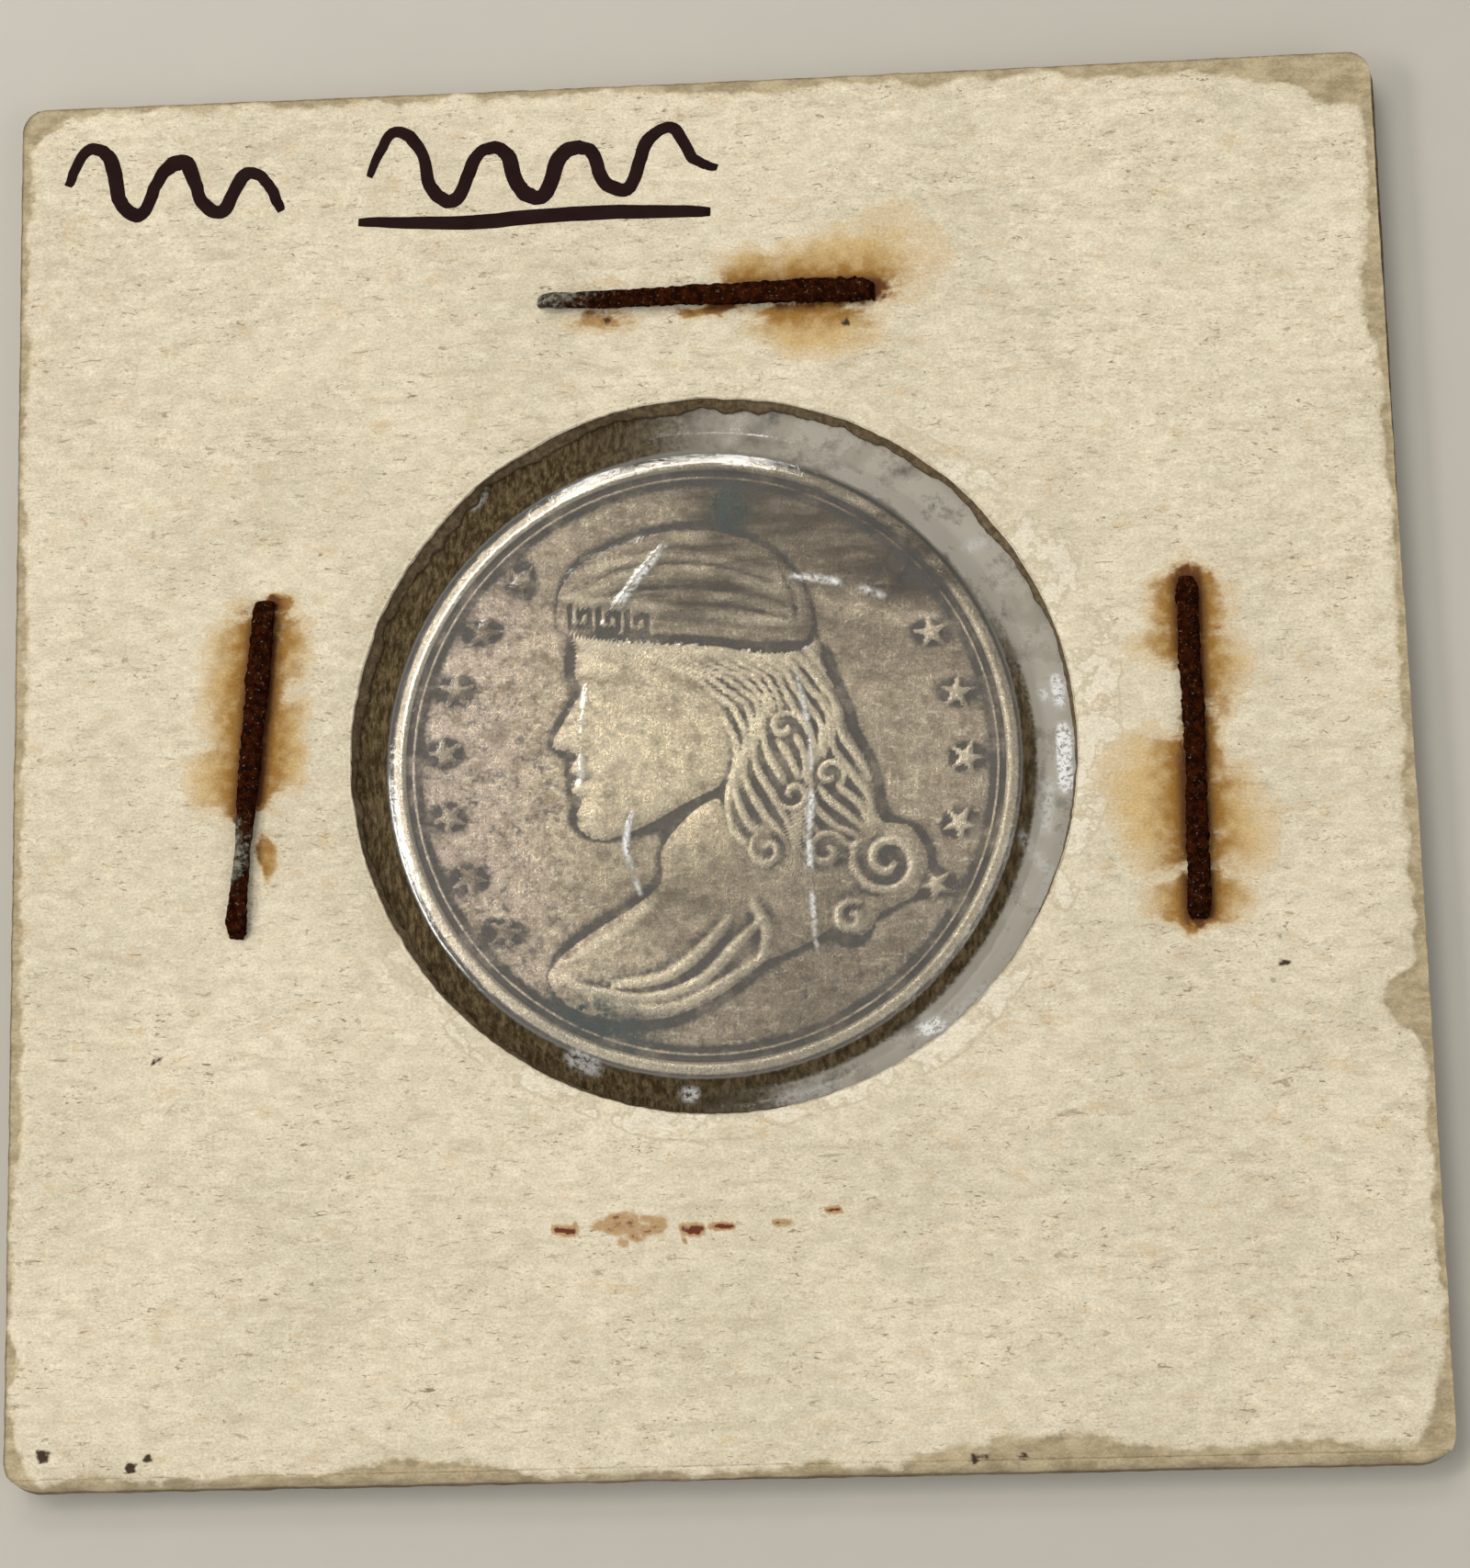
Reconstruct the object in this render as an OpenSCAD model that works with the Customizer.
// Fare token sealed in a stapled two-inch card holder: a struck metal token between two clear
// films, two windowed card leaves joined by a fold along one edge, and three wire staples.
// Millimetres. Origin: centre of the footprint, on the plane the clinched staple legs rest on.
// +Z points out of the front face, +X to the right, +Y away from the fold.

/* [Card holder] */
// Width of the folded holder
card_w = 50.8; // [50:0.1:52]
// Height of the folded holder, from the outside of the fold to the open edge
card_h = 51.4; // [50:0.1:53]
// Radius of the two corners at the open edge
corner_r = 0.9; // [0.3:0.1:3]
// Thickness of one leaf's board core
board_t = 0.42; // [0.3:0.02:0.8]
// Thickness of the cream paper on the outside of each leaf
facing_t = 0.1; // [0.06:0.02:0.2]
// Gap between the two closed leaves
leaf_gap = 0.02; // [0.01:0.01:0.1]

/* [Window] */
// Diameter of the die-cut window
window_d = 26.4; // [24:0.1:31]
// Window centre, right of the card's centre
window_x = 0.2; // [-1:0.05:1]
// Window centre, above the card's centre
window_y = 0.3; // [-1:0.05:1]
// Thickness of the clear film
film_t = 0.06; // [0.04:0.01:0.1]
// How far the film stops short of the card's three free edges
film_inset = 0.4; // [0.2:0.1:2]

/* [Token] */
// Diameter of the token
token_d = 22.9; // [22:0.1:23.5]
// Thickness of the token over its rims
token_t = 1.4; // [1.1:0.05:1.5]
// Width of the raised rim
rim_w = 0.55; // [0.3:0.05:1]
// Height of the rim above the field
rim_h = 0.12; // [0.08:0.01:0.2]
// Token centre, right of the card's centre
token_x = -0.07; // [-1:0.01:1]
// Token centre, above the card's centre
token_y = -0.18; // [-1:0.01:1]
// Room between the token and the film
film_gap = 0.02; // [0.01:0.01:0.1]

/* [Staples] */
// Length of a staple's crown, outside to outside
crown_l = 12.6; // [11:0.1:13]
// Length of a clinched leg
clinch_l = 5.2; // [3:0.1:5.8]
// Width of the flattened wire
wire_w = 0.72; // [0.4:0.02:1]
// Thickness of the flattened wire
wire_t = 0.42; // [0.3:0.02:0.6]

/* [Hidden] */

$fn = 96;
lift = 0.02;                            // a staple's clearance off the card it grips
slot_gap = 0.05;                        // clearance round a leg in its slot
leaf_t = board_t + facing_t + film_t;
rear_z = wire_t + lift;                 // outside of the rear leaf
mid_z = rear_z + leaf_t + leaf_gap / 2; // plane between the leaves, and height of the fold axis
front_z = mid_z + leaf_gap / 2;         // inside of the front leaf
crown_z = front_z + leaf_t + lift;      // underside of a staple's crown
fold_r = leaf_t + leaf_gap / 2;         // outer radius of the fold
fold_y = fold_r - card_h / 2;           // where the flat leaves end and the fold begins
foot_r = window_d / 2 - 0.62;           // where the film leaves the leaf's inner plane
dome_r = token_d / 2 + 0.1;             // where it reaches the token's height
dome_h = token_t / 2 + film_gap - leaf_gap / 2;
field_r = token_d / 2 - rim_w;

// Staple places: [x, y, angle of the crown]
top_place = [0.35, 17.3, -0.4];
left_place = [-16.6, 0.1, 85.1];
right_place = [17.5, -0.2, 89.3];

board_colour = [0.66, 0.6, 0.5];
facing_colour = [0.85, 0.8, 0.69];
film_colour = [0.85, 0.87, 0.85, 0.3];
token_colour = [0.62, 0.58, 0.52];
rust_colour = [0.25, 0.13, 0.07];

// ---------- shared shapes ----------

// A plate over one leaf, with its two corners at the open edge rounded.
module sheet(thick, inset = 0) {
    half_w = card_w / 2 - inset;
    top = card_h / 2 - inset;
    translate([-half_w, fold_y, 0]) cube([2 * half_w, top - corner_r - fold_y, thick]);
    translate([corner_r - half_w, fold_y, 0]) cube([2 * (half_w - corner_r), top - fold_y, thick]);
    for (side = [-1, 1])
        translate([side * (half_w - corner_r), top - corner_r, 0])
            cylinder(r = corner_r, h = thick);
}

// The six slots that the staples' legs pass through.
module leg_slots(thick) {
    for (place = [top_place, left_place, right_place])
        translate([place[0], place[1], thick / 2]) rotate(place[2])
            for (side = [-1, 1])
                translate([side * (crown_l - wire_t) / 2, 0, 0])
                    cube([wire_t + 2 * slot_gap, wire_w + 2 * slot_gap, 3 * thick], center = true);
}

// A card layer: a plate with the window and the slots cut through it.
module card_layer(thick) {
    difference() {
        sheet(thick);
        translate([window_x, window_y, -thick]) cylinder(d = window_d, h = 3 * thick);
        leg_slots(thick);
    }
}

// A film: flat under the leaf, and drawn up over the token inside the window.
module film_layer() {
    difference() {
        sheet(film_t, film_inset);
        translate([token_x, token_y, -film_t]) cylinder(r = foot_r - 0.05, h = 3 * film_t);
        leg_slots(film_t);
    }
    translate([token_x, token_y, 0]) rotate_extrude()
        polygon([[foot_r, 0], [dome_r, dome_h], [0, dome_h], [0, dome_h + film_t],
                 [dome_r + film_t / 2, dome_h + film_t], [foot_r, film_t]]);
}

// One quarter of a round bar across the wire: the outside of a bend, in the +X +Z quarter.
module bend() {
    intersection() {
        rotate([90, 0, 0]) cylinder(r = wire_t, h = wire_w, center = true, $fn = 32);
        translate([0, -wire_w, 0]) cube([2 * wire_t, 2 * wire_w, 2 * wire_t]);
    }
}

// A flat-clinched staple, crown along X, legs down, tips turned inwards under the rear leaf.
module staple(place) {
    inner = crown_l / 2 - wire_t;
    color(rust_colour) translate([place[0], place[1], 0]) rotate(place[2]) {
        translate([-inner, -wire_w / 2, crown_z]) cube([2 * inner, wire_w, wire_t]);
        for (side = [0, 1]) mirror([side, 0, 0]) {
            translate([inner, 0, crown_z]) bend();
            translate([inner, -wire_w / 2, wire_t]) cube([wire_t, wire_w, crown_z - wire_t]);
            translate([inner, 0, wire_t]) mirror([0, 0, 1]) bend();
            translate([inner - clinch_l, -wire_w / 2, 0]) cube([clinch_l, wire_w, wire_t]);
        }
    }
}

// ---------- the token's relief ----------

// A raised five-pointed star.
module star(r, h) {
    linear_extrude(h)
        polygon([for (i = [0 : 9])
            let (reach = i % 2 == 0 ? r : r * 0.42) [reach * sin(i * 36), reach * cos(i * 36)]]);
}

// A raised lens-shaped leaf lying along Y.
module leaf(length, h) {
    r = length * 0.756;
    intersection() {
        translate([-r * 0.75, 0, 0]) cylinder(r = r, h = h, $fn = 48);
        translate([r * 0.75, 0, 0]) cylinder(r = r, h = h, $fn = 48);
    }
}

// A stock classical profile facing -X, with its neck and draped shoulder.
module bust_shape() {
    polygon([[-4.5, 6.3], [-4.9, 5.0], [-5.0, 4.1], [-5.6, 2.9], [-5.9, 2.35], [-5.2, 1.95],
             [-5.3, 1.45], [-5.1, 1.15], [-5.2, 0.75], [-4.9, 0.35], [-5.0, -0.2], [-4.4, -0.8],
             [-3.2, -0.9], [-2.3, -1.4], [-2.1, -3.0], [-2.6, -4.2], [-5.4, -6.9], [-5.5, -7.8],
             [-4.6, -8.8], [-3.2, -9.2], [-0.8, -8.7], [1.6, -7.4], [3.4, -6.3], [4.6, -6.2],
             [5.6, -5.0], [6.6, -4.4], [6.4, -2.6], [4.9, -0.6], [4.0, 1.6], [4.0, 4.2],
             [3.2, 6.4], [0.8, 7.9], [-1.6, 8.0], [-3.4, 7.5]]);
}

// The soft cap above the brow band.
module cap_shape() {
    polygon([[-4.6, 6.1], [-3.6, 7.6], [-1.6, 8.3], [0.9, 8.2], [3.0, 7.0], [4.1, 5.0],
             [4.2, 3.7], [1.5, 4.5], [-1.8, 5.4]]);
}

// A squared spiral, the repeat of the band's key pattern.
module key_step(h) {
    for (bar = [[0, 0, 0.14, 0.8], [0, 0.66, 0.62, 0.14], [0.48, 0.28, 0.14, 0.4],
                [0.28, 0.28, 0.2, 0.14], [0, 0, 0.8, 0.14]])
        translate([bar[0], bar[1], 0]) cube([bar[2], bar[3], h]);
}

module obverse_relief() {
    linear_extrude(0.05) bust_shape();
    linear_extrude(0.08) cap_shape();
    for (i = [0 : 4])
        translate([-4.7 + i * 0.98, 4.62 - i * 0.19, 0]) rotate(-11) key_step(0.1);
    for (wave = [0 : 4])
        translate([1.4 + wave * 0.75, 1.6 - wave * 1.15, 0]) rotate(-52 + wave * 4)
            leaf(3.6, 0.075);
    translate([6.3, -3.7, 0]) cylinder(r = 1.3, h = 0.08);
    translate([5.1, -5.9, 0]) cylinder(r = 0.65, h = 0.08);
    for (pleat = [0 : 4])
        translate([-3.4 + pleat * 1.2, -7.3 + pleat * 0.3, 0]) rotate(-48 - pleat * 6)
            leaf(3.2, 0.09);
    for (i = [0 : 6]) rotate(133.5 + i * 14.3) translate([9.6, 0, 0]) rotate(-90) star(0.66, 0.09);
    for (i = [0 : 5]) rotate(43 - i * 14.5) translate([9.6, 0, 0]) rotate(-90) star(0.66, 0.09);
}

module reverse_relief() {
    star(3.6, 0.09);
    for (side = [0, 1]) mirror([side, 0, 0])
        for (i = [0 : 7])
            rotate(-72 + i * 19) translate([6.9, 0, 0]) rotate(18) leaf(2.6, 0.08);
    for (i = [0 : 47])
        rotate(i * 7.5) translate([field_r - 0.75, 0, 0]) cylinder(r = 0.24, h = 0.08, $fn = 16);
}

// ---------- sub-parts ----------

module token() {
    edge = 0.1;
    color(token_colour) translate([token_x, token_y, mid_z]) {
        rotate_extrude()
            polygon([for (up = [1, -1]) each (up > 0
                ? [[0, token_t / 2 - rim_h], [field_r - 0.12, token_t / 2 - rim_h],
                   [field_r, token_t / 2], [token_d / 2 - edge, token_t / 2],
                   [token_d / 2, token_t / 2 - edge]]
                : [[token_d / 2, edge - token_t / 2], [token_d / 2 - edge, -token_t / 2],
                   [field_r, -token_t / 2], [field_r - 0.12, rim_h - token_t / 2],
                   [0, rim_h - token_t / 2]])]);
        translate([0, 0, token_t / 2 - rim_h - 0.01]) obverse_relief();
        rotate([0, 180, 0]) translate([0, 0, token_t / 2 - rim_h - 0.01]) reverse_relief();
    }
}

module front_film() { color(film_colour) translate([0, 0, front_z]) film_layer(); }

module front_board() {
    color(board_colour) translate([0, 0, front_z + film_t]) card_layer(board_t);
}

module front_facing() {
    color(facing_colour) translate([0, 0, front_z + film_t + board_t]) card_layer(facing_t);
}

module rear_film() {
    color(film_colour) translate([0, 0, rear_z + leaf_t]) mirror([0, 0, 1]) film_layer();
}

module rear_board() {
    color(board_colour) translate([0, 0, rear_z + facing_t]) card_layer(board_t);
}

module rear_facing() {
    color(facing_colour) translate([0, 0, rear_z]) card_layer(facing_t);
}

// The creased strip of card that turns from one leaf into the other.
module fold_strip() {
    color(facing_colour) translate([-card_w / 2, fold_y, mid_z]) rotate([0, 90, 0])
        difference() {
            cylinder(r = fold_r, h = card_w);
            translate([0, 0, -1]) cylinder(r = 0.08, h = card_w + 2, $fn = 24);
            translate([-fold_r - 1, 0, -1]) cube([2 * fold_r + 2, fold_r + 1, card_w + 2]);
        }
}

module top_staple() { staple(top_place); }
module left_staple() { staple(left_place); }
module right_staple() { staple(right_place); }

token();
front_board();
front_facing();
front_film();
rear_board();
rear_facing();
rear_film();
fold_strip();
top_staple();
left_staple();
right_staple();
